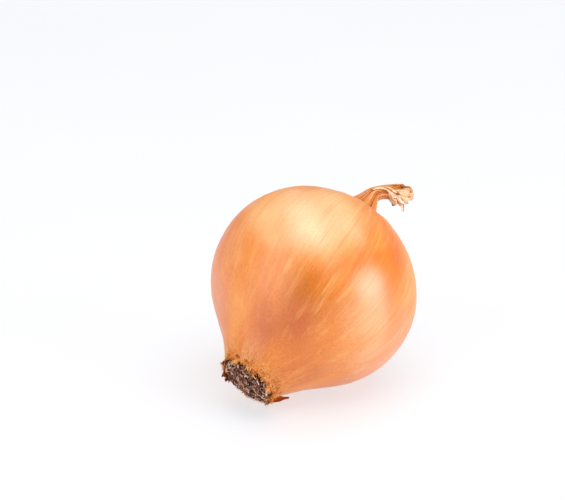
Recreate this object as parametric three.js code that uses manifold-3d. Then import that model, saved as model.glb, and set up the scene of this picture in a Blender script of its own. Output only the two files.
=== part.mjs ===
// A brown onion with its dry skin, withered neck and dried roots, lying on its side.
// Row frame in millimetres: +Z up, origin at the centre of the small flat spot that the bulb rests on.
// The growth axis lies over the X axis, with the roots low at -X and the neck high at +X.
import * as THREE from "three";
import { mergeVertices } from "three/addons/utils/BufferGeometryUtils.js";
import Module from "manifold-3d";

const wasm = await Module();
wasm.setup();

// Driving dimensions. Stations run along the growth axis from the widest ring, and are positive towards the neck.
const BULB_RADIUS = 39.3;
const BULB_SEGMENTS = 64;
const AXIS_PITCH = THREE.MathUtils.degToRad(34); // how steeply the neck end points up
const FLAT_DEPTH = 1.0; // what the resting spot takes off the round belly
const GAP = 0.3; // between pieces that touch

// Root end: a collar of skin round a shallow cup, which holds the basal plate.
const COLLAR_STATION = -41.4;
const COLLAR_RADIUS = 11.2;
const COLLAR_WALL = 1.2;
const CUP_DEPTH = 1.6;
const PLATE_DOME = 0.9;
const FRINGE_INSET = 0.9; // from the collar's outside to the fringe's inside
const FRINGE_WALL = 0.7;
const FRINGE_LENGTH = 1.7;
const FRINGE_TEETH = 18;
const TUFT_THICKNESS = 2.2;
const TUFT_STUBS = 40;

// The root end leans over to one side, and its rim stands further out on the other side.
const LEAN_TOWARDS = THREE.MathUtils.degToRad(53); // round the axis, from its upper side
const LEAN_START = -31; // station
const LEAN_END = -39.5;
const LEAN_SHIFT = 1.3;
const LEAN_DROP = 0.5; // on the side it leans towards
const LEAN_TILT = 2.4; // further out than that on the other side

// Neck: the drawn-in leaf sheaths, which stand up and then fold over to one side.
const NECK_BASE = 41.5;
const NECK_RISE = 4.2; // from the base to the bend
const NECK_BEND_RADIUS = 6;
const NECK_BEND = THREE.MathUtils.degToRad(56);
const NECK_BEND_TOWARDS = THREE.MathUtils.degToRad(-124); // round the axis, from its upper side
const NECK_LENGTH = 13.2; // from the base to the end, along its centre line
const NECK_RADIUS = 2.5;
const NECK_TIP = 0.5; // the low cone on the end face
const NECK_FLUTES = 7;
const FLUTE_SHARE = 0.13;
const NECK_FLATTENING = 0.16;
const LEAF_THICKNESS = 0.6;

// Loose scales at the collar
const FLAP_LENGTH = 11;
const FLAP_HEADING = THREE.MathUtils.degToRad(-136); // from +Y
const FLAKE_ANGLE = THREE.MathUtils.degToRad(100); // round the axis
const FLAKE_CLEARANCE = 0.9; // from the collar's outside to the flake's middle

const MATERIALS = {
  skin: new THREE.MeshStandardMaterial({ color: 0xe08a45, roughness: 0.42, metalness: 0 }),
  neckLeaf: new THREE.MeshStandardMaterial({ color: 0xc98a50, roughness: 0.7, metalness: 0 }),
  paleLeaf: new THREE.MeshStandardMaterial({ color: 0xe6b58c, roughness: 0.75, metalness: 0 }),
  fringe: new THREE.MeshStandardMaterial({ color: 0xb4672c, roughness: 0.8, metalness: 0 }),
  looseSkin: new THREE.MeshStandardMaterial({ color: 0x9a4c17, roughness: 0.5, metalness: 0 }),
  cork: new THREE.MeshStandardMaterial({ color: 0x4a2f22, roughness: 0.9, metalness: 0 }),
  roots: new THREE.MeshStandardMaterial({ color: 0x8a6650, roughness: 0.9, metalness: 0 }),
};

// ---- From the growth axis to the row frame ----

// The outline of skin from the collar to the end of the neck, as (radius, station).
const SKIN_OUTLINE = new THREE.SplineCurve([
  new THREE.Vector2(COLLAR_RADIUS, COLLAR_STATION),
  new THREE.Vector2(11.6, -39.6),
  new THREE.Vector2(14.7, -36.4),
  new THREE.Vector2(23.6, -28),
  new THREE.Vector2(32.2, -19),
  new THREE.Vector2(37.5, -9),
  new THREE.Vector2(BULB_RADIUS, 2),
  new THREE.Vector2(37.9, 12),
  new THREE.Vector2(33.5, 21),
  new THREE.Vector2(27.4, 28),
  new THREE.Vector2(19.8, 33),
  new THREE.Vector2(12.6, 36),
  new THREE.Vector2(8.0, 38.2),
  new THREE.Vector2(5.5, NECK_BASE),
  new THREE.Vector2(NECK_RADIUS * 1.65, NECK_BASE + 0.28 * NECK_LENGTH),
  new THREE.Vector2(NECK_RADIUS * 1.05, NECK_BASE + 0.65 * NECK_LENGTH),
  new THREE.Vector2(NECK_RADIUS * 0.9, NECK_BASE + NECK_LENGTH),
]);
const OUTLINE_POINTS = 46;

const axisDirection = new THREE.Vector3(Math.cos(AXIS_PITCH), 0, Math.sin(AXIS_PITCH));
const upperSide = new THREE.Vector3(-Math.sin(AXIS_PITCH), 0, Math.cos(AXIS_PITCH));
const leftSide = new THREE.Vector3(0, 1, 0);

// The belly's lowest point, from the widest ring's centre: the resting spot is cut just above it.
function lowestPoint() {
  const onBelly = SKIN_OUTLINE.getPoints(400).map((p) =>
    axisDirection.clone().multiplyScalar(p.y).addScaledVector(upperSide, -p.x),
  );
  return onBelly.reduce((low, p) => (p.z < low.z ? p : low));
}

// A group whose own Y axis is the growth axis, with X on its upper side, lying as the onion rests.
function lyingGroup() {
  const low = lowestPoint();
  const group = new THREE.Group();
  group.matrixAutoUpdate = false;
  group.matrix
    .makeBasis(upperSide, axisDirection, leftSide)
    .setPosition(-low.x, 0, -low.z - FLAT_DEPTH);
  return group;
}

const lying = lyingGroup();

// ---- Solids ----

function solidOf(geometry) {
  const bare = geometry.clone();
  bare.deleteAttribute("normal");
  bare.deleteAttribute("uv");
  const merged = mergeVertices(bare, 1e-3);
  return new wasm.Manifold(
    new wasm.Mesh({
      numProp: 3,
      vertProperties: merged.attributes.position.array,
      triVerts: new Uint32Array(merged.index.array),
    }),
  );
}

function geometryOf(solid) {
  const mesh = solid.getMesh();
  const geometry = new THREE.BufferGeometry();
  geometry.setAttribute("position", new THREE.BufferAttribute(mesh.vertProperties, 3));
  geometry.setIndex(new THREE.BufferAttribute(mesh.triVerts, 1));
  geometry.computeVertexNormals();
  return geometry;
}

// Takes off whatever a solid of the lying group has below the floor, which leaves a flat face there.
function cutAtFloor(solid) {
  const size = 200;
  const floor = new THREE.BoxGeometry(size, size, size);
  floor.translate(0, 0, -size / 2);
  floor.applyMatrix4(lying.matrix.clone().invert());
  return solid.subtract(solidOf(floor));
}

function moveVertices(geometry, move) {
  const position = geometry.attributes.position;
  const vertex = new THREE.Vector3();
  for (let i = 0; i < position.count; i++) {
    vertex.fromBufferAttribute(position, i);
    move(vertex);
    position.setXYZ(i, vertex.x, vertex.y, vertex.z);
  }
  return geometry;
}

// ---- The root end's lean ----

function leanRoots(vertex) {
  const share = THREE.MathUtils.smoothstep(-vertex.y, -LEAN_START, -LEAN_END);
  const c = Math.cos(LEAN_TOWARDS);
  const s = Math.sin(LEAN_TOWARDS);
  const away = (1 - (vertex.x * c + vertex.z * s) / COLLAR_RADIUS) / 2;
  vertex.x += share * LEAN_SHIFT * c;
  vertex.z += share * LEAN_SHIFT * s;
  vertex.y -= share * (LEAN_DROP + LEAN_TILT * away);
  return vertex;
}

// ---- The neck's centre line: straight, then an arc, then straight again ----

// The frame at a length past the neck's base: Y along the centre line, X towards the inside of the bend.
function neckFrame(length) {
  const bent = length - NECK_RISE;
  const angle = THREE.MathUtils.clamp(bent / NECK_BEND_RADIUS, 0, NECK_BEND);
  const beyond = Math.max(0, bent - NECK_BEND * NECK_BEND_RADIUS);
  const inward = new THREE.Vector3(Math.cos(NECK_BEND_TOWARDS), 0, Math.sin(NECK_BEND_TOWARDS));
  const up = new THREE.Vector3(0, 1, 0);
  const along = up.clone().multiplyScalar(Math.cos(angle)).addScaledVector(inward, Math.sin(angle));
  const across = inward.clone().multiplyScalar(Math.cos(angle)).addScaledVector(up, -Math.sin(angle));
  const side = new THREE.Vector3().crossVectors(across, along);
  const rise = Math.min(length, NECK_RISE) + NECK_BEND_RADIUS * Math.sin(angle);
  const centre = new THREE.Vector3(0, NECK_BASE + rise, 0)
    .addScaledVector(inward, NECK_BEND_RADIUS * (1 - Math.cos(angle)))
    .addScaledVector(along, beyond);
  return new THREE.Matrix4().makeBasis(across, along, side).setPosition(centre);
}

// Pleats the neck, flattens it a little and lays it over.
function shapeNeck(vertex) {
  const pleated = THREE.MathUtils.smoothstep(vertex.y, 35.5, NECK_BASE + 1);
  const angle = Math.atan2(vertex.z, vertex.x);
  const share = 1 + FLUTE_SHARE * pleated * Math.cos(NECK_FLUTES * angle + 0.08 * vertex.y);
  vertex.x *= share;
  vertex.z *= share;
  const length = vertex.y - NECK_BASE;
  if (length <= 0) return;
  const inward = Math.cos(NECK_BEND_TOWARDS) * vertex.x + Math.sin(NECK_BEND_TOWARDS) * vertex.z;
  const sideways = -Math.sin(NECK_BEND_TOWARDS) * vertex.x + Math.cos(NECK_BEND_TOWARDS) * vertex.z;
  const flat = NECK_FLATTENING * THREE.MathUtils.smoothstep(length, 0, NECK_LENGTH / 2);
  vertex.set(inward * (1 - flat), 0, sideways * (1 + flat)).applyMatrix4(neckFrame(length));
}

// ---- Pieces ----

function bulb() {
  const cupFloor = COLLAR_STATION + CUP_DEPTH;
  const cupRadius = COLLAR_RADIUS - COLLAR_WALL;
  const outline = [
    new THREE.Vector2(0, cupFloor),
    new THREE.Vector2(cupRadius, cupFloor),
    new THREE.Vector2(cupRadius, COLLAR_STATION),
    ...SKIN_OUTLINE.getPoints(OUTLINE_POINTS),
    new THREE.Vector2(0, NECK_BASE + NECK_LENGTH + NECK_TIP),
  ];
  const turned = new THREE.LatheGeometry(outline, BULB_SEGMENTS);
  const shaped = moveVertices(moveVertices(turned, leanRoots), shapeNeck);
  return geometryOf(cutAtFloor(solidOf(shaped)));
}

// The corky disc that the leaves and the roots grow from.
function basalPlate() {
  const inner = COLLAR_STATION + CUP_DEPTH - GAP;
  const radius = COLLAR_RADIUS - COLLAR_WALL - GAP;
  const disc = new THREE.LatheGeometry(
    [
      new THREE.Vector2(0, COLLAR_STATION - PLATE_DOME),
      new THREE.Vector2(0.55 * radius, COLLAR_STATION - 0.8 * PLATE_DOME),
      new THREE.Vector2(radius, COLLAR_STATION),
      new THREE.Vector2(radius, inner),
      new THREE.Vector2(0, inner),
    ],
    40,
  );
  return moveVertices(disc, leanRoots);
}

// The frayed edge of the outer skin: a thin ring of teeth that goes on from the collar.
function skinFringe() {
  const start = COLLAR_STATION - GAP;
  const inner = COLLAR_RADIUS - FRINGE_INSET;
  const end = start - FRINGE_LENGTH;
  const ring = new THREE.LatheGeometry(
    [
      new THREE.Vector2(inner, end),
      new THREE.Vector2(inner + FRINGE_WALL, end),
      new THREE.Vector2(COLLAR_RADIUS, start),
      new THREE.Vector2(inner, start),
      new THREE.Vector2(inner, end),
    ],
    4 * FRINGE_TEETH,
  );
  return geometryOf(
    solidOf(
      moveVertices(ring, (vertex) => {
        if (vertex.y < end + 1e-3) {
          const angle = Math.atan2(vertex.z, vertex.x);
          const tooth = Math.cos(FRINGE_TEETH * angle) + 0.6 * Math.sin(5 * angle + 0.7);
          vertex.y -= 0.45 * tooth;
        }
        leanRoots(vertex);
      }),
    ),
  );
}

// The mat of dried roots: a lumpy cap over the plate, with stubs leaning out of it.
function rootTuft() {
  const start = COLLAR_STATION - PLATE_DOME - GAP;
  const throat = COLLAR_RADIUS - FRINGE_INSET - GAP;
  const mat = new THREE.LatheGeometry(
    [
      new THREE.Vector2(0, start - TUFT_THICKNESS),
      new THREE.Vector2(6.0, start - 0.95 * TUFT_THICKNESS),
      new THREE.Vector2(throat - 0.7, start - 0.55 * TUFT_THICKNESS),
      new THREE.Vector2(throat, start - 0.2),
      new THREE.Vector2(throat - 0.2, start + 0.3),
      new THREE.Vector2(0.55 * throat, start + 0.12),
      new THREE.Vector2(0, start),
    ],
    32,
  );
  let tuft = solidOf(moveVertices(mat, leanRoots));
  const goldenAngle = Math.PI * (3 - Math.sqrt(5));
  for (let i = 0; i < TUFT_STUBS; i++) {
    const share = Math.sqrt((i + 0.5) / TUFT_STUBS);
    const length = 2.3 + 0.7 * Math.sin(2.3 * i);
    const stub = new THREE.CylinderGeometry(0.8, 0.45, length, 6);
    stub.translate(0, 0.5 - length / 2, 0);
    stub.rotateX(0.5 * Math.sin(1.7 * i));
    stub.rotateZ(0.1 + 0.75 * share);
    stub.translate(8.9 * share, start - TUFT_THICKNESS * (1.1 - 0.55 * share * share), 0);
    stub.rotateY(i * goldenAngle);
    tuft = tuft.add(solidOf(moveVertices(stub, leanRoots)));
  }
  return geometryOf(cutAtFloor(tuft));
}

// A thin dry leaf along +Y from a base at the origin: it narrows to its tip, cups across its width,
// curls towards +Z at the tip and starts off from a raised base.
function leaf({ length, width, tip, cup, curl, rise = 0 }) {
  const sheet = new THREE.BoxGeometry(width, length, LEAF_THICKNESS, 6, 10, 1);
  return moveVertices(sheet.translate(0, length / 2, 0), (vertex) => {
    const along = THREE.MathUtils.clamp(vertex.y / length, 0, 1);
    const across = vertex.x / (width / 2);
    vertex.x *= THREE.MathUtils.lerp(1, tip, along ** 1.5) * (1 - 0.25 * (1 - along) ** 2);
    vertex.z += cup * (across * across - 0.5) + curl * along * along + rise * (1 - along) ** 3;
  });
}

function addPiece(group, name, geometry, material) {
  const mesh = new THREE.Mesh(geometry, material);
  mesh.name = name;
  group.add(mesh);
  return mesh;
}

const onion = new THREE.Group();
onion.add(lying);

addPiece(lying, "bulb", bulb(), MATERIALS.skin);
addPiece(lying, "basal_plate", basalPlate(), MATERIALS.cork);
addPiece(lying, "skin_fringe", skinFringe(), MATERIALS.fringe);
addPiece(lying, "root_tuft", rootTuft(), MATERIALS.roots);

// Withered leaf ends, just past the end face of the neck.
const neckEnd = new THREE.Group();
neckEnd.matrixAutoUpdate = false;
neckEnd.matrix.copy(neckFrame(NECK_LENGTH + NECK_TIP + GAP));
lying.add(neckEnd);

const outerLeaf = leaf({ length: 8.6, width: 5.6, tip: 0.5, cup: 0.8, curl: 0.6 });
const outerLeafEnd = addPiece(neckEnd, "outer_leaf_end", outerLeaf, MATERIALS.neckLeaf);
outerLeafEnd.rotation.y = Math.PI / 2;
outerLeafEnd.position.x = -1.7;

const innerLeaf = leaf({ length: 6, width: 5.2, tip: 0.25, cup: 0.8, curl: 6.2 });
const innerLeafEnd = addPiece(neckEnd, "inner_leaf_end", innerLeaf, MATERIALS.paleLeaf);
innerLeafEnd.rotation.y = Math.PI / 2;
innerLeafEnd.position.x = 0.9;

// Loose scales of skin at the collar: one trails over the floor from under the collar, one stands
// out beside the roots.
const flap = leaf({ length: FLAP_LENGTH, width: 4.6, tip: 0.12, cup: 0.5, curl: 0.5, rise: 1.2 });
const trailingScale = addPiece(onion, "trailing_scale", flap, MATERIALS.looseSkin);
trailingScale.position.set(-31.5, 2.8, 0.62);
trailingScale.rotation.z = FLAP_HEADING;

const flake = leaf({ length: 3.8, width: 4.0, tip: 0.25, cup: 0.4, curl: -0.4 });
const standingScale = addPiece(lying, "standing_scale", flake, MATERIALS.looseSkin);
const flakeRadius = COLLAR_RADIUS + FLAKE_CLEARANCE;
standingScale.position.set(
  flakeRadius * Math.cos(FLAKE_ANGLE),
  COLLAR_STATION + 0.6,
  flakeRadius * Math.sin(FLAKE_ANGLE),
);
leanRoots(standingScale.position);
standingScale.rotation.set(0, Math.PI / 2 - FLAKE_ANGLE, Math.PI);

export default onion;
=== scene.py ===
"""A brown onion lying on its side: papery skin, a withered neck folded over, and a mat of dried roots.

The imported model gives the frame. Shapes are worked out in millimetres in the onion's own axes, which
are the CAD's: x towards its upper side, y along the growth axis from roots to neck, z to its left, with
the zero at the centre of the widest ring. Stations are places along y.
"""

import math

import bpy
import numpy as np
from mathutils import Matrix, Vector


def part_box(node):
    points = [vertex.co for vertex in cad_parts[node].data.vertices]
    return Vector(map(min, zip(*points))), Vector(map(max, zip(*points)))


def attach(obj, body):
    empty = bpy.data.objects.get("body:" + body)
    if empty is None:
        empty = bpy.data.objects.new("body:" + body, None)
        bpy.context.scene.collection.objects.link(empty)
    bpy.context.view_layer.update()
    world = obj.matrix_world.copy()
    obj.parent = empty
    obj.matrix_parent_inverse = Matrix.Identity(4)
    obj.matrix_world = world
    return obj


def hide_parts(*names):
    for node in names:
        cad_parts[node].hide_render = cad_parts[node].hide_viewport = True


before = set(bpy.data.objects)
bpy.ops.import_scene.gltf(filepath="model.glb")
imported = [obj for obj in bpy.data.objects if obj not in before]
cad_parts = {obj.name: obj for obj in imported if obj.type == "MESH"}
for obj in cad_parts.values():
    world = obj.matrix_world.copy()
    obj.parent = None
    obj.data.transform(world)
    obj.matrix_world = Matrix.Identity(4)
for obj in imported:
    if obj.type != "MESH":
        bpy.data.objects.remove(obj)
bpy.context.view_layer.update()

MM = 0.001

# ---- Driving dimensions, the same as the solid model's ----

AXIS_PITCH = math.radians(34)
FLAT_DEPTH = 1.0
COLLAR_STATION = -41.4
COLLAR_RADIUS = 11.2
PLATE_RADIUS = 10.4
LEAN_TOWARDS = math.radians(53)
LEAN_START = -31
LEAN_END = -39.5
LEAN_SHIFT = 1.3
LEAN_DROP = 0.5
LEAN_TILT = 2.4
FLAKE_ANGLE = math.radians(100)
NECK_BASE = 41.5
NECK_RISE = 4.2
NECK_BEND_RADIUS = 6.0
NECK_BEND = math.radians(56)
NECK_BEND_TOWARDS = math.radians(-124)
NECK_LENGTH = 13.2
NECK_RADIUS = 2.5
BULB_RADIUS = 39.3
OUTLINE = np.array([
    (COLLAR_RADIUS, COLLAR_STATION), (11.6, -39.6), (14.7, -36.4), (23.6, -28), (32.2, -19),
    (37.5, -9), (BULB_RADIUS, 2), (37.9, 12), (33.5, 21), (27.4, 28), (19.8, 33), (12.6, 36),
    (8.0, 38.2), (5.5, NECK_BASE), (NECK_RADIUS * 1.65, NECK_BASE + 0.28 * NECK_LENGTH),
    (NECK_RADIUS * 1.05, NECK_BASE + 0.65 * NECK_LENGTH), (NECK_RADIUS * 0.9, NECK_BASE + NECK_LENGTH),
])

DOME_HEIGHT = 0.9  # of the plate over the collar's rim
NECK_END = NECK_BASE + NECK_LENGTH

# The skin's mesh
TURN_STEPS = 360
SKIN_ROWS = 250

# The roots: how far their middles reach, the points along one and round it
GOLDEN_ANGLE = math.pi * (3 - math.sqrt(5))
ROOT_SPREAD = 9.6
ROOT_STEPS = 13
ROOT_SIDES = 5

# The fringe: tufts, the shreds in one and the steps along a shred
TUFTS = 210
SHREDS_IN_TUFT = 13
SHRED_STEPS = 5

# The camera looks at the root end from one side and a little above.
CAMERA_AZIMUTH = math.radians(-53)
CAMERA_ELEVATION = math.radians(23)
CAMERA_DISTANCE = 700
CAMERA_LENS = 119
VIEW_CENTRE_RIGHT = -10.6  # the view's centre, from the bulb's centre
VIEW_CENTRE_UP = 15.1


# ---- Places on the onion ----

def spline_through(points, steps):
    """A Catmull-Rom curve through points, with steps points to a span."""
    padded = np.vstack([points[:1], points, points[-1:]])
    t = np.linspace(0, 1, steps, endpoint=False)[:, None]
    spans = []
    for a, b, c, d in zip(padded, padded[1:], padded[2:], padded[3:]):
        v0, v1 = (c - a) / 2, (d - b) / 2
        spans.append((2 * b - 2 * c + v0 + v1) * t**3 + (3 * c - 3 * b - 2 * v0 - v1) * t**2 + v0 * t + b)
    return np.vstack([*spans, points[-1:]])


outline = spline_through(OUTLINE, 60)


def radius_at(station):
    return np.interp(station, outline[:, 1], outline[:, 0])


axis_direction = np.array([math.cos(AXIS_PITCH), 0, math.sin(AXIS_PITCH)])
upper_side = np.array([-math.sin(AXIS_PITCH), 0, math.cos(AXIS_PITCH)])
left_side = np.array([0.0, 1.0, 0.0])
onion_axes = np.array([upper_side, axis_direction, left_side])


def bulb_centre():
    """The centre of the widest ring in the row frame: the belly's lowest point is cut off by the flat."""
    belly = outline[:, 1:] * axis_direction - outline[:, :1] * upper_side
    low = belly[np.argmin(belly[:, 2])]
    return np.array([-low[0], 0, -low[2] - FLAT_DEPTH])


centre = bulb_centre()


def to_row(local):
    """Points in the onion's own axes, as points in the row frame, both in millimetres."""
    return np.asarray(local) @ onion_axes + centre


def to_local(row_point):
    return (np.asarray(row_point) - centre) @ onion_axes.T


def smoothstep(x, low, high):
    t = np.clip((x - low) / (high - low), 0, 1)
    return t * t * (3 - 2 * t)


def lean_roots(local):
    """The root end leans over to one side, and its rim stands further out on the other side."""
    share = smoothstep(-local[:, 1], -LEAN_START, -LEAN_END)
    c, s = math.cos(LEAN_TOWARDS), math.sin(LEAN_TOWARDS)
    away = (1 - (local[:, 0] * c + local[:, 2] * s) / COLLAR_RADIUS) / 2
    drop = LEAN_DROP + LEAN_TILT * away
    level = np.full(away.shape, LEAN_SHIFT)
    return local + share[:, None] * np.stack([level * c, -drop, level * s], -1)


def neck_axes(length):
    """The neck's centre line at lengths past its base: (centre, across, along, side), each (n, 3)."""
    length = np.atleast_1d(np.asarray(length, float))[:, None]
    bent = length - NECK_RISE
    angle = np.clip(bent / NECK_BEND_RADIUS, 0, NECK_BEND)
    beyond = np.maximum(0, bent - NECK_BEND * NECK_BEND_RADIUS)
    inward = np.array([math.cos(NECK_BEND_TOWARDS), 0, math.sin(NECK_BEND_TOWARDS)])
    up = np.array([0.0, 1.0, 0.0])
    along = up * np.cos(angle) + inward * np.sin(angle)
    across = inward * np.cos(angle) - up * np.sin(angle)
    middle = up * (NECK_BASE + np.minimum(length, NECK_RISE) + NECK_BEND_RADIUS * np.sin(angle))
    middle = middle + inward * NECK_BEND_RADIUS * (1 - np.cos(angle)) + along * beyond
    return middle, across, along, np.cross(across, along)


def bend_neck(local):
    """Lays over whatever lies past the neck's base."""
    length = local[:, 1] - NECK_BASE
    bent = local.copy()
    past = length > 0
    middle, across, _, side = neck_axes(length[past])
    c, s = math.cos(NECK_BEND_TOWARDS), math.sin(NECK_BEND_TOWARDS)
    inward = c * local[past, 0] + s * local[past, 2]
    sideways = c * local[past, 2] - s * local[past, 0]
    flat = 0.16 * smoothstep(length[past], 0, NECK_LENGTH / 2)
    bent[past] = middle + across * (inward * (1 - flat))[:, None] + side * (sideways * (1 + flat))[:, None]
    return bent


# ---- Meshes ----

def add_mesh(name, points, faces, material):
    """points are (n, 3) in millimetres in the row frame."""
    mesh = bpy.data.meshes.new(name)
    mesh.from_pydata((np.asarray(points) * MM).tolist(), [], faces)
    mesh.polygons.foreach_set("use_smooth", [True] * len(mesh.polygons))
    mesh.materials.append(material)
    mesh.update()
    piece = bpy.data.objects.new(name, mesh)
    bpy.context.scene.collection.objects.link(piece)
    return piece


def grid_faces(rows, columns, closed=False, first=0):
    """Quads over a grid of rows times columns points, closed round across the columns or not."""
    row = np.arange(rows - 1)[:, None] * columns + first
    column = np.arange(columns if closed else columns - 1)[None, :]
    following = (column + 1) % columns
    quads = np.stack([row + column, row + following, row + columns + following, row + columns + column], -1)
    return quads.reshape(-1, 4).tolist()


def give_attribute(piece, name, values):
    """One number or one vector for each vertex, which the materials read."""
    values = np.asarray(values, np.float32)
    kind = "FLOAT" if values.ndim == 1 else "FLOAT_VECTOR"
    attribute = piece.data.attributes.new(name, kind, "POINT")
    attribute.data.foreach_set("value" if values.ndim == 1 else "vector", values.ravel())


def finish_piece(piece, slot, *nodes):
    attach(piece, "root")
    if nodes:
        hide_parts(*nodes)
    return piece


# ---- Materials ----

def srgb(red, green, blue):
    """A colour as it looks on a screen, 0 to 255, as the linear colour that a material takes."""
    channels = np.array([red, green, blue]) / 255
    linear = np.where(channels <= 0.04045, channels / 12.92, ((channels + 0.055) / 1.055) ** 2.4)
    return (*linear.tolist(), 1.0)


class Paint:
    """A node material: each method adds one node and gives back its output socket."""

    def __init__(self, name, roughness, specular=0.5):
        self.material = bpy.data.materials.new(name)
        self.material.use_nodes = True
        self.tree = self.material.node_tree
        self.shader = self.tree.nodes["Principled BSDF"]
        self.shader.inputs["Roughness"].default_value = roughness
        self.shader.inputs["Specular IOR Level"].default_value = specular
        self.height = None

    def node(self, kind, **settings):
        made = self.tree.nodes.new(kind)
        for key, value in settings.items():
            setattr(made, key, value)
        return made

    def put(self, socket, value):
        if isinstance(value, bpy.types.NodeSocket):
            self.tree.links.new(value, socket)
        else:
            socket.default_value = value

    def attribute(self, name, output="Fac"):
        return self.node("ShaderNodeAttribute", attribute_name=name).outputs[output]

    def stretched(self, vector, scale):
        """scale is how many features a pattern has to the millimetre, each way."""
        made = self.node("ShaderNodeMapping")
        self.put(made.inputs["Vector"], vector)
        made.inputs["Scale"].default_value = scale
        return made.outputs["Vector"]

    def noise(self, vector, detail=2.0, roughness=0.5, distortion=0.0):
        made = self.node("ShaderNodeTexNoise")
        self.put(made.inputs["Vector"], vector)
        made.inputs["Scale"].default_value = 1.0
        made.inputs["Detail"].default_value = detail
        made.inputs["Roughness"].default_value = roughness
        made.inputs["Distortion"].default_value = distortion
        return made.outputs["Fac"]

    def ramp(self, share, stops):
        made = self.node("ShaderNodeValToRGB")
        self.put(made.inputs["Fac"], share)
        elements = made.color_ramp.elements
        while len(elements) < len(stops):
            elements.new(0.5)
        for element, (place, colour) in zip(elements, stops):
            element.position = place
            element.color = colour
        return made.outputs["Color"]

    def level(self, value, low, high, to_low=0.0, to_high=1.0):
        made = self.node("ShaderNodeMapRange", interpolation_type="SMOOTHSTEP")
        for socket, given in zip(made.inputs, (value, low, high, to_low, to_high)):
            self.put(socket, given)
        return made.outputs["Result"]

    def maths(self, operation, a, b):
        made = self.node("ShaderNodeMath", operation=operation)
        self.put(made.inputs[0], a)
        self.put(made.inputs[1], b)
        return made.outputs["Value"]

    def mix(self, share, a, b, blend="MIX"):
        made = self.node("ShaderNodeMix", data_type="RGBA", blend_type=blend)
        for socket, given in zip((made.inputs[0], made.inputs[6], made.inputs[7]), (share, a, b)):
            self.put(socket, given)
        return made.outputs[2]

    def colour(self, value):
        self.put(self.shader.inputs["Base Color"], value)

    def roughness(self, value):
        self.put(self.shader.inputs["Roughness"], value)

    def bump(self, height, depth):
        """depth is what a height of 1 stands for, in millimetres. Bumps add up."""
        made = self.node("ShaderNodeBump")
        self.put(made.inputs["Height"], height)
        made.inputs["Distance"].default_value = depth * MM
        if self.height is not None:
            self.put(made.inputs["Normal"], self.height)
        self.height = made.outputs["Normal"]
        self.put(self.shader.inputs["Normal"], self.height)


def mottled_tone(paint, broad):
    """The orange under the veins, with its patches of other tones; the pale straw and blush patches are
    partly painted highlight and painted light.
    """
    tone = paint.ramp(broad, [
        (0.32, srgb(228, 116, 22)), (0.46, srgb(236, 130, 34)),
        (0.58, srgb(240, 140, 46)), (0.72, srgb(246, 156, 64)),
    ])
    tone = paint.mix(paint.attribute("olive"), tone, srgb(206, 116, 14))
    tone = paint.mix(paint.attribute("ember"), tone, srgb(224, 100, 16))
    tone = paint.mix(paint.attribute("deep"), tone, srgb(206, 98, 18))
    # Pale pink patches: partly painted light, where the side softboxes and the floor light the right and left
    # flanks.
    tone = paint.mix(paint.attribute("blush_and_flank_light"), tone, srgb(242, 156, 104))
    # Pale straw patches: mostly painted highlight, where the overhead softbox shines on the top and the right
    # softbox on the right flank.
    return paint.mix(paint.attribute("straw_and_highlight"), tone, srgb(252, 200, 146))


def veined_tone(paint, tone, veins, streaks, body):
    """Pale and dark lines over the body of the onion, in broken streaks."""
    broken = paint.maths("MULTIPLY", paint.level(streaks, 0.46, 0.66), body)
    pale = paint.maths("MULTIPLY", paint.level(veins, 0.50, 0.70, 0.0, 0.5), broken)
    tone = paint.mix(pale, tone, srgb(253, 202, 134))
    sunk = paint.level(veins, 0.50, 0.32, 0.0, 0.30)
    dark = paint.maths("MULTIPLY", sunk, paint.level(streaks, 0.6, 0.4))
    tone = paint.mix(paint.maths("MULTIPLY", dark, body), tone, srgb(206, 98, 14))
    return paint.mix(paint.level(streaks, 0.52, 0.72, 0.0, 0.22), tone, srgb(250, 178, 100))


def crease_shaded_tone(paint, grain):
    """The drawn-in neck: tan on its ridges and dark brown in its creases, the brown a painted shade in the
    folds.
    """
    wrinkles = paint.noise(paint.stretched(grain, (0.14, 0.03, 0.14)), detail=3, roughness=0.6)
    small_creases = paint.level(wrinkles, 0.35, 0.65, -0.12, 0.16)
    # Darker the deeper in a crease: painted shade in the neck's folds.
    return paint.ramp(paint.maths("ADD", paint.attribute("crease"), small_creases), [
        (0.10, srgb(236, 154, 66)), (0.26, srgb(208, 110, 28)),
        (0.42, srgb(172, 78, 14)), (0.60, srgb(92, 38, 8)),
    ])


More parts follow.
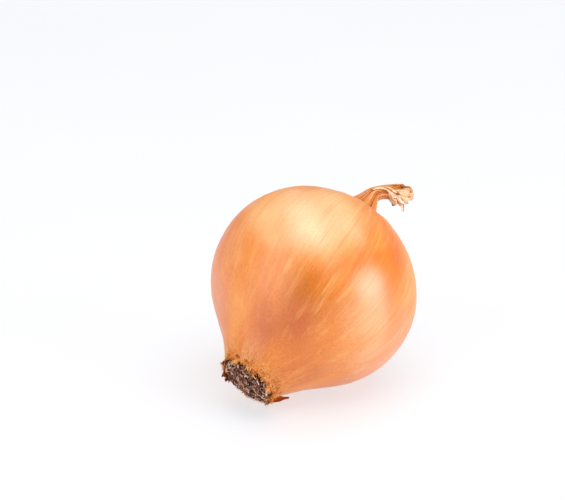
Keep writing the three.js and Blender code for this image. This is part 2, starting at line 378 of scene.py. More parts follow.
def skin_material():
    """Dry outer skin: lengthwise veins over a mottled orange, with a satin sheen."""
    paint = Paint("onion_skin", 0.34, 0.8)
    grain = paint.attribute("grain", "Vector")
    body = paint.attribute("body")
    lines = paint.stretched(grain, (0.62, 0.022, 0.62))
    veins = paint.noise(lines, detail=4, roughness=0.62, distortion=0.25)
    bands = paint.stretched(grain, (0.30, 0.040, 0.30))
    streaks = paint.noise(bands, detail=3, roughness=0.55, distortion=0.3)
    fine = paint.noise(paint.stretched(grain, (1.9, 0.10, 1.9)), detail=3, roughness=0.65)
    cells = paint.noise(paint.stretched(grain, (1.7, 0.9, 1.7)), detail=3, roughness=0.75)
    broad = paint.noise(paint.stretched(grain, (0.05, 0.025, 0.05)), detail=3, distortion=0.6)

    tone = veined_tone(paint, mottled_tone(paint, broad), veins, streaks, body)
    root_tone = paint.ramp(fine, [
        (0.35, srgb(198, 100, 20)), (0.5, srgb(220, 126, 34)), (0.65, srgb(238, 154, 58)),
    ])
    tone = paint.mix(paint.attribute("root_side"), tone, root_tone)
    tone = paint.mix(paint.attribute("neck_side"), tone, crease_shaded_tone(paint, grain))

    hair = paint.level(fine, 0.35, 0.65, 0.90, 1.05)
    speckle = paint.level(cells, 0.3, 0.7, 0.88, 1.06)
    shade = paint.maths("MULTIPLY", hair, speckle)
    grey = paint.ramp(shade, [(0.0, (0, 0, 0, 1)), (1.0, (1, 1, 1, 1))])
    paint.colour(paint.mix(1.0, tone, grey, "MULTIPLY"))
    paint.roughness(paint.level(broad, 0.3, 0.7, 0.30, 0.40))
    paint.bump(paint.maths("MULTIPLY", veins, body), 0.12)
    paint.bump(fine, 0.05)
    paint.bump(cells, 0.03)
    return paint.material


def leaf_material(name, dark, middle, pale, roughness=0.6):
    """Dry leaf: fibres along it, paler and darker, with a stained edge."""
    paint = Paint(name, roughness, 0.35)
    grain = paint.attribute("grain", "Vector")
    fibres = paint.noise(paint.stretched(grain, (2.6, 0.16, 1.0)), detail=3, roughness=0.65)
    blots = paint.noise(paint.stretched(grain, (0.6, 0.26, 1.0)), detail=2)
    tone = paint.ramp(fibres, [(0.32, dark), (0.5, middle), (0.66, pale)])
    tone = paint.mix(paint.level(blots, 0.54, 0.74, 0.0, 0.35), tone, dark)
    paint.colour(paint.mix(paint.attribute("edge"), tone, dark))
    paint.bump(fibres, 0.12)
    return paint.material


def root_material():
    """Dried roots: each has its own shade between umber and pinkish tan, and those lying lower are painted
    darker, as shade in the gaps of the mat.
    """
    paint = Paint("dried_roots", 0.75, 0.3)
    grain = paint.attribute("grain", "Vector")
    flecks = paint.noise(paint.stretched(grain, (3.0, 3.0, 3.0)), detail=3, roughness=0.7)
    shade = paint.maths("ADD", paint.attribute("shade"), paint.level(flecks, 0.3, 0.7, -0.18, 0.18))
    paint.colour(paint.ramp(shade, [
        (0.0, srgb(36, 14, 8)), (0.3, srgb(86, 42, 28)), (0.55, srgb(152, 96, 74)),
        (0.8, srgb(214, 160, 134)), (1.0, srgb(250, 216, 190)),
    ]))
    paint.bump(flecks, 0.1)
    return paint.material


def fringe_material():
    """Frayed skin round the roots: orange tan shreds, brown where they start and paler at their tips, the
    brown at their starts a painted shade between the tufts.
    """
    paint = Paint("frayed_skin", 0.6, 0.35)
    grain = paint.attribute("grain", "Vector")
    flecks = paint.noise(paint.stretched(grain, (2.0, 2.0, 2.0)), detail=3, roughness=0.7)
    shade = paint.maths("ADD", paint.attribute("shade"), paint.level(flecks, 0.3, 0.7, -0.12, 0.12))
    paint.colour(paint.ramp(shade, [
        (0.0, srgb(84, 36, 12)), (0.3, srgb(168, 82, 20)),
        (0.6, srgb(224, 130, 42)), (1.0, srgb(250, 190, 112)),
    ]))
    paint.bump(flecks, 0.08)
    return paint.material


def cork_material():
    """The basal plate: dark crumbly cork."""
    paint = Paint("basal_cork", 0.9, 0.2)
    grain = paint.attribute("grain", "Vector")
    lumps = paint.noise(paint.stretched(grain, (0.9, 0.9, 0.9)), detail=4, roughness=0.7)
    paint.colour(paint.ramp(lumps, [
        (0.3, srgb(34, 16, 9)), (0.5, srgb(70, 38, 24)), (0.7, srgb(118, 80, 60)),
    ]))
    paint.bump(lumps, 0.5)
    return paint.material


def scale_material(name, dark, light):
    """Loose brown scale: dark, dry and a little glossy, with veins along it."""
    paint = Paint(name, 0.38)
    grain = paint.attribute("grain", "Vector")
    veins = paint.noise(paint.stretched(grain, (2.2, 0.2, 1.0)), detail=3)
    paint.colour(paint.mix(paint.attribute("edge"), paint.ramp(veins, [(0.35, dark), (0.65, light)]), dark))
    paint.bump(veins, 0.08)
    return paint.material


# ---- The bulb's skin ----

def pleats(angle, station):
    """The folds of the drawn-in neck, from -1 in a crease to 1 on a ridge."""
    total = np.zeros(np.broadcast(angle, station).shape)
    folds = ((7, 0.9, 0.4), (9, 1.0, 2.1), (13, 0.9, 4.0), (19, 0.5, 1.3), (31, 0.3, 5.2))
    for count, weight, phase in folds:
        turn = count * angle + phase + 0.05 * count * np.sin(0.12 * station + phase)
        total += weight * (1 - 2 * (1 - np.abs(np.sin(turn / 2))) ** 3)
    return total / sum(weight for _, weight, _ in folds)


def ripples(angle, station, counts, drift):
    """Low ridges along the onion, a few different counts of them laid over each other."""
    total = 0
    for i, count in enumerate(counts):
        phase = 2.4 * i + drift * math.sin(1.7 * i) * np.sin(0.05 * station + i)
        total = total + np.cos(count * angle + phase)
    return total / math.sqrt(len(counts))


def skin_stations():
    """Rows from the collar to the neck's end, closer together where the skin is drawn in."""
    station = outline[:, 1]
    step = np.hypot(np.diff(outline[:, 0]), np.diff(station))
    middle = (station[1:] + station[:-1]) / 2
    closeness = 1 + 2.2 * smoothstep(middle, 29, 37) + 1.3 * smoothstep(-middle, 33, 39)
    total = np.concatenate([[0], np.cumsum(step * closeness)])
    return np.interp(np.linspace(0, total[-1], SKIN_ROWS), total, station)


def spot(angle, station, at_angle, at_station, around, along):
    """A soft round patch of skin: 1 in its middle, going to 0 at about around degrees and along mm off."""
    off = np.degrees(np.angle(np.exp(1j * (angle - math.radians(at_angle)))))
    wobble = 0.25 * np.sin(5 * angle + 0.2 * station) + 0.2 * np.sin(0.35 * station - 9 * angle)
    return np.exp(-((off / around) ** 2 + ((station - at_station) / along) ** 2) * (1 + wobble))


def skin_radius(angle, station):
    """The smooth outline, a little lobed, ribbed and puckered, and deeply folded at the neck."""
    body = smoothstep(station, -38, -25) * (1 - smoothstep(station, 24, 34))
    lobes = 0.22 * np.sin(2 * angle + 0.9) + 0.18 * np.sin(3 * angle + 2.2) + 0.1 * np.sin(5 * angle)
    veins = 0.008 * ripples(angle, station, (37, 44, 53, 61, 70), 0.9)
    puckers = ripples(angle, station, (17, 23, 29, 36), 0.5) * smoothstep(-station, 30, 41)
    radius = radius_at(station) + body * (lobes + veins) + 0.09 * puckers
    radius = radius * (1 + 0.19 * smoothstep(station, 30, 42) * pleats(angle, station))

    # The upright of the neck is slimmer on the side that it bends to.
    upright = smoothstep(station, 36, 40) * (1 - smoothstep(station, NECK_BASE + 5, NECK_BASE + 9))
    inner_side = smoothstep(np.cos(angle - NECK_BEND_TOWARDS), 0, 1)
    return radius * (1 - 0.24 * upright * inner_side)


def turned_in(outer):
    """Adds the cup that holds the plate before the skin's rows, and the open neck's throat after them."""
    collar, mouth = outer[0], outer[-1]
    cup = [collar * (k, 1, k) + (0, lift, 0) for k, lift in ((0, 1.7), (0.5, 1.7), (0.9, 1.5), (0.955, 0.3))]
    throat = [mouth * (k, 1, k) + (0, -drop, 0)
              for k, drop in ((0.86, 0.1), (0.74, 1.2), (0.4, 2.6), (0.0, 3.0))]
    return np.concatenate([np.array(cup), outer, np.array(throat)]), len(cup), len(throat)


def give_skin_attributes(skin, around, lengths):
    """What the skin's material reads at each place: its angle round the axis and its station."""
    # The lines of the skin break up into a fine grain where it narrows to the roots.
    broken = 0.5 * smoothstep(-lengths, 8, 34)
    reach = BULB_RADIUS + broken * (radius_at(lengths) - BULB_RADIUS)
    grain = np.stack([reach * np.cos(around), lengths, reach * np.sin(around)], -1)
    body = smoothstep(lengths, -32, -8) * (1 - smoothstep(lengths, 28, 36))
    give_attribute(skin, "grain", grain.reshape(-1, 3))
    # How deep each place lies in a fold of the neck, where its material paints shade.
    give_attribute(skin, "crease", (0.5 - 0.5 * pleats(around, lengths)).ravel())
    give_attribute(skin, "neck_side", (smoothstep(lengths, 30, 39) ** 1.5).ravel())
    give_attribute(skin, "body", body.ravel())
    give_attribute(skin, "root_side", (smoothstep(-lengths, 31, 40.5) ** 1.4).ravel())
    for name, places in SKIN_PATCHES.items():
        patch = sum(weight * spot(around, lengths, *place) for *place, weight in places)
        give_attribute(skin, name, np.clip(patch, 0, 1).ravel())


def make_skin():
    station = skin_stations()[:, None]
    angle = np.linspace(0, 2 * math.pi, TURN_STEPS, endpoint=False)[None, :]
    radius = skin_radius(angle, station)
    ragged = 0.7 * np.sin(7 * angle) + 0.5 * np.sin(12 * angle + 1) + 0.4 * np.sin(23 * angle + 2)
    last = smoothstep(station, NECK_END - 2.5, NECK_END)
    lengthwise = station + last * (ragged - 0.8)
    outer = np.stack([radius * np.cos(angle), np.broadcast_to(lengthwise, radius.shape),
                      radius * np.sin(angle)], -1)
    grid, before, after = turned_in(outer)

    points = to_row(bend_neck(lean_roots(grid.reshape(-1, 3))))
    points[:, 2] = np.maximum(points[:, 2], 0)
    skin = add_mesh("bulb_skin", points, grid_faces(len(grid), TURN_STEPS, closed=True), skin_paint)

    stations = np.pad(station[:, 0], (before, after), mode="edge")[:, None]
    around = np.broadcast_to(angle, grid.shape[:2])
    give_skin_attributes(skin, around, np.broadcast_to(stations, around.shape))
    return finish_piece(skin, "skin", "bulb")


# Patches of other tones, some partly painted light: (angle round the axis, station, spread in degrees, spread
# in mm, strength)
SKIN_PATCHES = {
    "olive": [(-31, -13, 12, 7, 0.6), (-39, -19, 13, 8, 0.75), (60, 8, 20, 14, 0.4), (170, 0, 24, 16, 0.4)],
    "ember": [(-68, 20, 9, 8, 0.6), (-52, 6, 6, 7, 0.3), (30, -6, 16, 14, 0.45), (120, 5, 25, 15, 0.4),
              (40, -24, 14, 8, 0.4), (-34, -10, 14, 8, 0.15), (-26, 6, 5, 6, 0.2)],
    "deep": [(-18, -31, 22, 8, 0.7), (-42, -22, 16, 8, 0.6), (-60, -30, 24, 7, 0.5), (-95, -34, 26, 5, 0.6),
             (90, -30, 40, 8, 0.6), (-160, -26, 40, 9, 0.6)],
    # The blush patches on the right and left flanks are painted light from the side softboxes and the floor.
    "blush_and_flank_light": [(38, -22, 18, 8, 0.5), (-104, -4, 16, 9, 0.6), (-117, -12, 20, 9, 0.7),
              (-150, 10, 30, 20, 0.4)],
    # The straw patches on the top and the right flank are painted highlights of the overhead and right
    # softboxes.
    "straw_and_highlight": [(-4, 12, 22, 11, 0.8), (-18, 0, 13, 8, 0.5), (-29, 11, 12, 8, 0.25), (-22, 22, 22, 7, 0.5),
              (10, 2, 14, 8, 0.4), (24, -6, 10, 8, 0.3), (-61, -2, 8, 7, 0.35), (-78, -10, 11, 8, 0.6),
              (-96, -15, 10, 7, 0.5), (100, 20, 40, 10, 0.5),
              (-42, 21, 8, 7, 0.12), (-39, -4, 6, 6, 0.2)],
}


# ---- Thin dry pieces ----

def sheet_piece(name, rows, material, edge, thickness):
    """A thin sheet over a grid of points, given in the row frame in millimetres."""
    rows = np.asarray(rows)
    count, width = rows.shape[:2]
    piece = add_mesh(name, rows.reshape(-1, 3), grid_faces(count, width), material)
    along, across = np.meshgrid(np.linspace(0, 1, count), np.linspace(-1, 1, width), indexing="ij")
    length = np.linalg.norm(np.diff(rows[:, width // 2], axis=0), axis=1).sum()
    breadth = np.linalg.norm(rows[count // 3, 0] - rows[count // 3, -1])
    grain = np.stack([across * breadth / 2, along * length, 0 * along + len(name)], -1)
    give_attribute(piece, "grain", grain.reshape(-1, 3))
    give_attribute(piece, "edge", np.clip(edge(along, across), 0, 1).ravel())
    thick = piece.modifiers.new("thickness", "SOLIDIFY")
    thick.thickness = thickness * MM
    thick.offset = 0
    return piece


def in_box(node, x, y, z):
    """A place in a CAD node's box, with 0 to 1 for each side, in millimetres."""
    low, high = (np.array(corner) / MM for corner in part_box(node))
    return low + (high - low) * (x, y, z)


def leaf_rows(path, half_widths, side, up, cup, waves):
    """A grid of points for a leaf along path: it cups across its width and its edges wave."""
    across = np.linspace(-1, 1, 13)
    along = np.linspace(0, 1, len(path))
    rows = []
    for t, point, half in zip(along, path, half_widths):
        ripple = waves * np.abs(across) * np.sin(11 * t + 2.2 * across) * smoothstep(t, 0, 0.3)
        lift = cup * (across**2 - 0.4) + ripple
        rows.append(point + np.outer(across * half, side) + np.outer(lift, up))
    return np.array(rows)


def smooth_path(points, count):
    """count points along a Catmull-Rom curve through points."""
    dense = spline_through(np.asarray(points, float), 12)
    return dense[np.linspace(0, len(dense) - 1, count).astype(int)]


# ---- The neck's leaves ----

def neck_surface(length):
    """How far out the neck's skin is, length past its base."""
    return radius_at(NECK_BASE + np.minimum(length, NECK_LENGTH))


def neck_leaf(name, upper, lower, material, out, lift, waves, stain=0.8, ragged=0.5, side=1):
    """A dry leaf in front of the neck (side 1) or behind it (side -1), between an upper and a lower edge.

    An edge is a few (length past the neck's base, height over its centre line) places. On the neck the
    leaf lies lift over the skin, and past its end it goes on at out beside the centre line.
    """
    count, width = 60, 19
    top, bottom = smooth_path(upper, count), smooth_path(lower, count)
    t = np.linspace(0, 1, count)
    rows = []
    for v in np.linspace(0, 1, width):
        length, height = (top * (1 - v) + bottom * v).T
        length = length + ragged * smoothstep(t, 0.8, 1) * (np.sin(9 * v + len(name)) + 0.6 * np.sin(23 * v))
        skin = neck_surface(length)
        inside = np.clip(1 - (height / (0.9 * skin)) ** 2, 0, 1)
        hugging = 1.16 * skin * np.sqrt(inside) + lift
        free = smoothstep(length, NECK_LENGTH - 2.0, NECK_LENGTH + 1.5)
        ripple = waves * (0.4 + t) * np.sin(7.5 * v + 4 * t + len(name))
        ripple = ripple + 0.4 * waves * np.sin(17 * v - 3 * t)
        depth = side * (hugging * (1 - free) + out * free + ripple)
        middle, across, _, beside = neck_axes(length)
        rows.append(to_row(middle - across * height[:, None] + beside * depth[:, None]))
    rows = np.swapaxes(np.array(rows), 0, 1)

    def edge(along, across):
        return stain * (smoothstep(np.abs(across), 0.80, 1.0) + smoothstep(along, 0.88, 1.0))

    return sheet_piece(name, rows, material, edge, 0.14)


def make_outer_leaf(material):
    """The outer leaf's withered end lies along the top of the neck and goes on past it to a ragged tip."""
    leaf = neck_leaf("outer_leaf", [(5.8, 2.0), (9.6, 3.0), (13.2, 3.5), (16.2, 3.7), (18.9, 3.3)],
                     [(5.8, 1.6), (9.2, 1.5), (11.7, 0.8), (14.2, 0.1), (17.2, 0.6)], material, 0.3, 0.4, 0.3)
    return finish_piece(leaf, "neck_leaf", "outer_leaf_end")


def make_inner_leaf(material):
    """The pale inner leaf fans out of the neck's end, in wavy folds, with a ragged outline."""
    apex = np.array([12.0, -0.2])
    # (degrees below the neck's line, length)
    reach = np.array([(-15, 9.6), (-8, 10.2), (0, 9.8), (7, 10.1), (13, 9.2), (19, 8.4), (24, 8.9), (29, 7.6),
                      (34, 7.9), (39, 6.8), (44, 7.4), (48, 5.2), (53, 4.4), (60, 3.2)])
    angles = np.linspace(reach[0, 0], reach[-1, 0], 120)
    lengths = np.interp(angles, reach[:, 0], reach[:, 1]) + 0.2 * np.sin(1.9 * angles)
    rows = []
    for share in np.linspace(0.03, 1, 48):
        bend = np.radians(angles + 7 * share**2)
        run = lengths * share
        place = apex + np.stack([run * np.cos(bend), -run * np.sin(bend)], -1)
        folds = 0.7 * np.sin(0.36 * angles + 1.4 * share) + 0.22 * np.sin(0.8 * angles + 2)
        depth = 2.6 - 1.5 * smoothstep(share, 0, 0.5) + folds * smoothstep(share, 0.05, 0.8)
        middle, across, _, beside = neck_axes(place[:, 0])
        rows.append(to_row(middle - across * place[:, 1:] + beside * depth[:, None]))
    rows = np.array(rows)

    def edge(along, across):
        return 0.45 * smoothstep(along, 0.93, 1.0)

    leaf = sheet_piece("inner_leaf", rows, material, edge, 0.12)
    return finish_piece(leaf, "pale_leaf", "inner_leaf_end")


def make_neck_leaves(brown, tan, pale):
    """The rest of the withered leaves, from the front of the neck to its back."""
    leaves = (
        ("cream_fold", [(5.6, 1.25), (9.5, 0.75), (11.6, -0.15), (13.2, -1.1), (15.0, -2.3)],
         [(5.6, 0.75), (9.5, -0.05), (11.4, -0.95), (13.0, -1.9), (14.7, -3.2)], pale, 1.9, 0.85, 0.06, 0.1),
        ("peach_fold", [(5.4, 2.1), (9.4, 2.1), (12.0, 1.5), (14.2, 0.7), (16.0, -0.2)],
         [(5.4, 1.5), (9.2, 1.15), (11.6, 0.4), (13.8, -0.5), (15.6, -1.2)], tan, 1.7, 0.65, 0.08, 0.9),
        ("left_lobe", [(12.7, -0.6), (14.1, -2.2), (15.1, -3.5), (14.7, -5.4)],
         [(11.6, -1.3), (12.6, -3.2), (13.7, -4.7), (14.4, -5.8)], pale, 1.6, 0.5, 0.2, 0.7, 0.2),
        ("hanging_tip", [(16.3, -1.6), (17.3, -4.0), (17.2, -6.2), (16.95, -7.9)],
         [(14.9, -1.8), (16.2, -4.2), (16.7, -6.4), (16.85, -8.0)], pale, 1.2, 0.4, 0.15, 0.35, 0.1),
        ("narrow_tip", [(18.2, -2.2), (18.1, -4.4), (17.9, -6.4), (17.65, -8.1)],
         [(17.0, -2.4), (17.4, -4.6), (17.5, -6.6), (17.55, -8.1)], pale, 0.7, 0.4, 0.12, 0.35, 0.1),
        ("rim_curl", [(19.2, 2.6), (20.8, 2.4), (21.8, 1.3), (21.7, -0.4), (20.9, -2.0)],
         [(18.8, 2.0), (20.2, 1.6), (20.8, 0.6), (20.6, -0.9), (20.2, -2.2)],
         brown, 0.9, 0.4, 0.25, 0.5, 0.3),
        ("dark_fold", [(5.2, 1.75), (9.4, 1.3), (12.0, 0.5), (14.2, -0.45), (16.2, -1.2)],
         [(5.4, 1.35), (9.3, 0.9), (11.7, 0.1), (13.9, -0.85), (15.8, -1.5)], brown, 1.9, 0.78, 0.05, 3.0),
        ("dark_curl", [(17.6, 3.5), (18.6, 3.1), (19.2, 2.2), (18.9, 1.3)],
         [(17.0, 2.9), (17.8, 2.4), (18.3, 1.8), (18.2, 1.2)], brown, 1.1, 0.4, 0.2, 1.4, 0.3),
        ("inner_sheath", [(10.7, 1.6), (14.2, 2.4), (17.2, 2.5), (19.7, 1.2)],
         [(10.7, -1.7), (13.2, -2.3), (15.7, -2.6), (18.2, -1.4)], tan, 0.5, 0.2, 0.3, 0.7, 0.5, -1),
        ("back_fold", [(3.2, 3.4), (6.2, 2.9), (10.2, 2.6), (14.2, 2.3), (17.7, 1.6)],
         [(3.2, 1.6), (6.2, 1.0), (10.2, 0.5), (14.2, 0.2), (17.2, 0.1)],
         brown, 1.5, 0.35, 0.25, 0.8, 0.5, -1),
        ("back_pale_fold", [(5.2, 0.6), (9.2, 0.2), (12.7, -0.4), (16.4, -1.8)],
         [(5.2, -1.0), (9.2, -1.3), (12.2, -2.4), (14.8, -4.8)], pale, 1.7, 0.5, 0.25, 0.7, 0.6, -1),
    )
    for name, upper, lower, material, *rest in leaves:
        slot = "pale_leaf" if material == pale else "neck_leaf"
        finish_piece(neck_leaf(name, upper, lower, material, *rest), slot)


# ---- The root end ----

def tubes(paths, radii, sides):
    """Round tapering tubes along paths, joined in one list of points and faces, each closed at its ends."""
    points, faces, first = [], [], 0
    turn = np.linspace(0, 2 * math.pi, sides, endpoint=False)
    for path, radius in zip(paths, radii):
        tangent = np.gradient(path, axis=0)
        tangent /= np.linalg.norm(tangent, axis=1)[:, None]
        guide = np.cross(tangent, tangent[0] + (0.31, 0.77, -0.54))
        guide /= np.linalg.norm(guide, axis=1)[:, None]
        other = np.cross(tangent, guide)
        ring = guide[:, None] * np.cos(turn)[:, None] + other[:, None] * np.sin(turn)[:, None]
        points.append((path[:, None] + ring * radius[:, None, None]).reshape(-1, 3))
        count = len(path)
        faces += grid_faces(count, sides, closed=True, first=first)
        faces.append(list(range(first + sides - 1, first - 1, -1)))
        faces.append(list(range(first + (count - 1) * sides, first + count * sides)))
        first += count * sides
    return np.vstack(points), faces


def keep_above_floor(points, clearance):
    points[:, 2] = np.maximum(points[:, 2], clearance)
    return points


def root_path(rng, middle, heading, length, lift, steps):
    """A dried root that lies over the others: it rises off the plate, wanders and comes back down to it."""
    t = np.linspace(0, 1, steps + 1)
    forward = np.array([math.cos(heading), math.sin(heading)])
    sideways = np.array([-forward[1], forward[0]])
    bow = rng.normal() * 0.12 * length
    wander = bow * np.sin(math.pi * t)
    wander = wander + rng.uniform(0.1, 0.4) * np.sin(rng.uniform(4, 13) * t + rng.uniform(0, 6))
    flat = middle + np.outer((t - 0.5) * length, forward) + np.outer(wander, sideways)
    widest = rng.uniform(8.0, 10.4)
    reach = np.linalg.norm(flat, axis=1)
    flat = flat * (np.minimum(reach, widest) / np.maximum(reach, 0.01))[:, None]
    dome = DOME_HEIGHT * (1 - (np.minimum(reach, widest) / PLATE_RADIUS) ** 2)
    free_end = rng.uniform(0.0, 0.9) * lift * smoothstep(t, 0.6, 1.0)
    arch = lift * np.sin(math.pi * (0.06 + 0.88 * t)) ** 0.7
    height = arch + 0.2 * np.sin(rng.uniform(5, 15) * t) + free_end
    return np.stack([flat[:, 0], COLLAR_STATION - dome - height, flat[:, 1]], -1)


def root_kinds():
    """(how many, spread of direction, shortest, longest, highest lift, thinnest, thickest), in mm."""
    return (
        (300, 0.50, 2.6, 6.0, 2.3, 0.14, 0.31),
        (240, 1.50, 1.2, 3.2, 2.8, 0.13, 0.34),
        (220, 1.20, 1.8, 4.5, 2.9, 0.06, 0.12),
    )


def make_roots(material):
    """Three kinds of dried root: long ones that lie across the plate, short knotty ones, and hairs."""
    rng = np.random.default_rng(11)
    paths, radii, shades = [], [], []
    along_mat = LEAN_TOWARDS + math.pi
    beside_flake = np.array([math.cos(FLAKE_ANGLE), math.sin(FLAKE_ANGLE)])
    for count, scatter, shortest, longest, highest, thinnest, thickest in root_kinds():
        for i in range(count):
            spread = ROOT_SPREAD * math.sqrt((i + 0.5) / count)
            turn = i * GOLDEN_ANGLE
            middle = np.array([spread * math.cos(turn), spread * math.sin(turn)]) - 1.1 * beside_flake
            heading = along_mat + rng.normal() * scatter
            outer = smoothstep(spread * math.cos(turn - along_mat), -6, 6)
            lift = rng.uniform(0.1, 1.0) ** 0.8 * highest * (0.95 - 0.1 * outer)
            path = root_path(rng, middle, heading, rng.uniform(shortest, longest), lift, ROOT_STEPS)
            thick = rng.uniform(thinnest, thickest)
            paths.append(keep_above_floor(to_row(lean_roots(path)), thick + 0.05))
            knots = 1 + 0.12 * rng.normal(size=ROOT_STEPS + 1)
            radii.append(thick * np.linspace(1.0, 0.5, ROOT_STEPS + 1) * knots)
            shade = rng.choice([0.14, 0.40, 0.64, 0.92], p=[0.30, 0.30, 0.25, 0.15])
            # Roots that rise higher are painted paler and those lying low darker: painted light on the mat's
            # top and painted shade in its gaps.
            shade = shade + 0.12 * (lift / highest - 0.5)
            shades.append(np.full((ROOT_STEPS + 1) * ROOT_SIDES, shade + 0.08 * rng.normal()))
    points, faces = tubes(paths, radii, ROOT_SIDES)
    roots = add_mesh("dried_roots", points, faces, material)
    give_attribute(roots, "grain", to_local(points))
    give_attribute(roots, "shade", np.clip(np.concatenate(shades), 0, 1))
    return finish_piece(roots, "roots", "root_tuft")


def make_plate(material):
    """The corky dome that shows between the roots."""
    rings, steps = 26, 90
    turn = np.linspace(0, 2 * math.pi, steps, endpoint=False)
    radius = np.linspace(0.02, 1, rings)[:, None] * PLATE_RADIUS
    bumps = 0.3 * np.sin(9 * turn + radius) * np.sin(1.9 * radius) + 0.2 * np.sin(16 * turn - 2.3 * radius)
    dome_rise = DOME_HEIGHT * (1 - (radius / PLATE_RADIUS) ** 2)
    station = COLLAR_STATION - dome_rise - bumps * smoothstep(radius, 0, 2)
    dome = np.stack([radius * np.cos(turn), station, radius * np.sin(turn)], -1)
    back = dome[::-1][:1] * (1, 0, 1) + (0, COLLAR_STATION + 1.2, 0)
    points = to_row(lean_roots(np.vstack([dome.reshape(-1, 3), back.reshape(-1, 3)])))
    faces = grid_faces(rings + 1, steps, closed=True)
    faces.append(list(range(steps)))
    faces.append(list(range((rings + 1) * steps - 1, rings * steps - 1, -1)))
    plate = add_mesh("basal_cork", points, faces, material)
    give_attribute(plate, "grain", to_local(points))
    return finish_piece(plate, "cork", "basal_plate")


def shred(place, heading, curl, around, length, half, steps):
    """One torn shred: rows of three points that follow a curling line and narrow to its tip."""
    across = np.linspace(-1, 1, 3)
    step = length / steps
    rows = []
    for k in range(steps + 1):
        width = half * (1 - 0.85 * (k / steps) ** 1.5)
        hollow = np.cross(around, heading)
        rows.append(place + np.outer(across * width, around) + np.outer(across**2 * 0.6 * width, hollow))
        heading = heading + curl
        heading = heading / np.linalg.norm(heading)
        place = place + heading * step
    return rows


def make_fringe(material):
    """Tufts of frayed skin that stand and curl round the roots, denser where the rim stands out."""
    rng = np.random.default_rng(5)
    points, faces, shades, first = [], [], [], 0
    steps = SHRED_STEPS
    for i in range(TUFTS):
        outer_side = i % 3 == 0
        turn = LEAN_TOWARDS + math.pi + rng.normal() * 0.75 if outer_side else rng.uniform(0, 2 * math.pi)
        station = COLLAR_STATION + 3.6 * rng.random() ** 1.9
        inwards = rng.uniform(0.0, 2.4) if outer_side and station < COLLAR_STATION + 0.7 else 0.1
        tuft_lean = rng.uniform(-0.2, 0.5)
        tuft_side = 0.4 * rng.normal()
        tuft_curl = 0.12 * rng.normal(size=3)
        paler = 0.35 * smoothstep(station - COLLAR_STATION, 0.3, 2.2)
        tuft_shade = np.clip(rng.normal(0.56, 0.3) + paler, 0.1, 1.0)
        tuft_length = rng.uniform(0.9, 2.5) * (1 - 0.24 * (station - COLLAR_STATION))
        for _ in range(SHREDS_IN_TUFT):
            angle = turn + 0.055 * rng.normal()
            radial = np.array([math.cos(angle), 0, math.sin(angle)])
            around = np.array([-math.sin(angle), 0, math.cos(angle)])
            start = station + 0.25 * rng.normal()
            place = radial * (radius_at(start) - inwards) + (0, start, 0)
            heading = np.array([0, -1.0, 0]) + radial * (tuft_lean + 0.15 * rng.normal())
            heading = heading + around * (tuft_side + 0.2 * rng.normal())
            heading /= np.linalg.norm(heading)
            curl = tuft_curl + 0.1 * rng.normal(size=3)
            twist = around + 0.6 * radial * rng.normal()
            length = tuft_length * rng.uniform(0.5, 1.1)
            half = rng.uniform(0.06, 0.17)
            points += shred(place, heading, curl, twist / np.linalg.norm(twist), length, half, steps)
            shade = tuft_shade + 0.15 * rng.normal()
            # Each shred runs from dark where it starts to pale at its tip: painted shade down between the
            # tufts.
            shades += np.repeat(shade - 0.2 + 0.35 * np.arange(steps + 1) / steps, 3).tolist()
            faces += grid_faces(steps + 1, 3, first=first)
            first += 3 * (steps + 1)
    points = keep_above_floor(to_row(lean_roots(np.vstack(points))), 0.15)
    fringe = add_mesh("skin_shreds", points, faces, material)
    give_attribute(fringe, "grain", to_local(points))
    give_attribute(fringe, "shade", np.clip(shades, 0, 1))
    thick = fringe.modifiers.new("thickness", "SOLIDIFY")
    thick.thickness = 0.08 * MM
    return finish_piece(fringe, "fringe", "skin_fringe")


def make_trailing_scale(material):
    """A loose scale that comes out from under the collar and lies along the floor to a point."""
    base = in_box("trailing_scale", 0.1, 0.9, 0.75)
    tip = in_box("trailing_scale", 1.0, 0.02, 0.12)
    forward = (tip - base) * (1, 1, 0)
    length = np.linalg.norm(forward)
    forward /= length
    sideways = np.array([-forward[1], forward[0], 0])
    heights = (2.1, 1.2, 0.75, 0.6, 0.6, 0.75)
    count = 40
    path = smooth_path([base * (1, 1, 0) + forward * length * k / 5 + (0, 0, h)
                        for k, h in enumerate(heights)], count)
    t = np.linspace(0, 1, count)
    half = 2.1 * np.sin(math.pi * (0.3 + 0.7 * t)) + 0.03
    up = np.array([0, 0, 1.0])
    tilted = sideways * 0.85 + up * 0.5
    rows = leaf_rows(path, half, tilted, up, 0.5, 0.18)
    rows[..., 2] = np.maximum(rows[..., 2], 0.12)

    def edge(along, across):
        return 0.8 * smoothstep(np.abs(across), 0.75, 1) + 0.5 * smoothstep(along, 0.9, 1)

    scale = sheet_piece("trailing_skin", rows, material, edge, 0.18)
    return finish_piece(scale, "loose_skin", "trailing_scale")


def make_standing_scale(material):
    """A small torn scale that stands beside the roots."""
    rows = []
    for share in np.linspace(0, 1, 16):
        across = np.linspace(-1, 1, 25)
        torn = 3.4 + 0.5 * np.sin(5.5 * across) + 0.3 * np.sin(13 * across + 1)
        angle = FLAKE_ANGLE + 0.27 * across * (1 - 0.25 * share)
        out = COLLAR_RADIUS + 0.3 - 0.9 * share + 0.25 * np.sin(4 * across)
        station = COLLAR_STATION + 0.6 - torn * share
        rows.append(to_row(lean_roots(np.stack([out * np.cos(angle), station, out * np.sin(angle)], -1))))

    def edge(along, across):
        return 0.7 * smoothstep(along, 0.75, 1)

    scale = sheet_piece("standing_skin", rows, material, edge, 0.18)
    return finish_piece(scale, "loose_skin", "standing_scale")


# ---- Scene ----

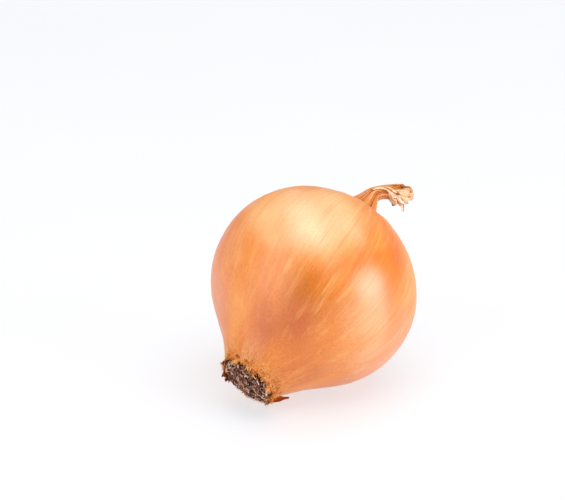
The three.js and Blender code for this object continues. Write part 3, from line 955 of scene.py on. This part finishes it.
def make_camera():
    def unit(azimuth, elevation):
        level = math.cos(elevation)
        return Vector((math.sin(azimuth) * level, -math.cos(azimuth) * level, math.sin(elevation)))

    back = unit(CAMERA_AZIMUTH, CAMERA_ELEVATION)
    right = Vector((0, 0, 1)).cross(back).normalized()
    up = back.cross(right)
    middle = Vector(centre)
    data = bpy.data.cameras.new("Camera")
    data.sensor_width = 36
    data.lens = CAMERA_LENS
    data.clip_start = 0.01
    camera = bpy.data.objects.new("Camera", data)
    bpy.context.scene.collection.objects.link(camera)
    position = middle + back * CAMERA_DISTANCE
    target = middle + right * VIEW_CENTRE_RIGHT + up * VIEW_CENTRE_UP
    camera.location = position * MM
    camera.rotation_mode = "QUATERNION"
    camera.rotation_quaternion = (target - position).to_track_quat("-Z", "Y")
    bpy.context.scene.camera = camera


def softbox(name, direction, distance, size, watts):
    """A flat rectangular light that faces the bulb from direction."""
    data = bpy.data.lights.new(name, "AREA")
    data.shape = "RECTANGLE"
    data.size, data.size_y = size
    data.energy = watts
    light = bpy.data.objects.new(name, data)
    bpy.context.scene.collection.objects.link(light)
    towards = Vector(direction).normalized()
    light.location = Vector(centre) * MM + towards * distance
    light.rotation_mode = "QUATERNION"
    light.rotation_quaternion = (-towards).to_track_quat("-Z", "Y")


def make_studio():
    paint = Paint("floor_white", 0.45, 0.3)
    grain = paint.node("ShaderNodeTexCoord").outputs["Object"]
    mottle = paint.noise(paint.stretched(grain, (9.0, 9.0, 9.0)), detail=2)
    paint.colour(paint.ramp(mottle, [(0.3, (0.30, 0.30, 0.31, 1)), (0.7, (0.31, 0.31, 0.32, 1))]))
    half_width = 3000
    corners = [(x * half_width, y * half_width, 0) for x, y in ((-1, -1), (1, -1), (1, 1), (-1, 1))]
    floor = add_mesh("floor", corners, [(0, 1, 2, 3)], paint.material)
    paint.shader.inputs["Emission Color"].default_value = (0.97, 0.98, 1, 1)
    paint.shader.inputs["Emission Strength"].default_value = 0.64

    softbox("overhead_softbox", (0.10, -0.10, 0.99), 1.8, (2.2, 2.2), 37)
    softbox("right_softbox", (0.22, -0.965, 0.165), 0.7, (0.42, 0.3), 2.6)
    softbox("left_softbox", (-0.95, 0.25, 0.35), 0.9, (0.8, 0.8), 4.2)

    scene = bpy.context.scene
    world = bpy.data.worlds.new("white_surroundings")
    world.use_nodes = True
    world.node_tree.nodes["Background"].inputs["Color"].default_value = (1, 1, 1, 1)
    world.node_tree.nodes["Background"].inputs["Strength"].default_value = 0.3
    scene.world = world
    scene.view_settings.view_transform = "Standard"
    scene.view_settings.look = "None"


skin_paint = skin_material()

brown_leaf = leaf_material("brown_leaf", srgb(134, 66, 16), srgb(214, 132, 56), srgb(242, 184, 118))
tan_leaf = leaf_material("tan_leaf", srgb(168, 94, 36), srgb(244, 184, 120), srgb(253, 220, 172))
pale_leaf = leaf_material("pale_leaf", srgb(196, 124, 70), srgb(252, 214, 176), srgb(255, 238, 216), 0.7)

make_camera()
make_studio()
make_skin()
make_outer_leaf(brown_leaf)
make_inner_leaf(pale_leaf)
make_neck_leaves(brown_leaf, tan_leaf, pale_leaf)
make_plate(cork_material())
make_roots(root_material())
make_fringe(fringe_material())
loose_scale = scale_material("loose_scale", srgb(150, 66, 12), srgb(214, 112, 30))
make_trailing_scale(loose_scale)
make_standing_scale(loose_scale)
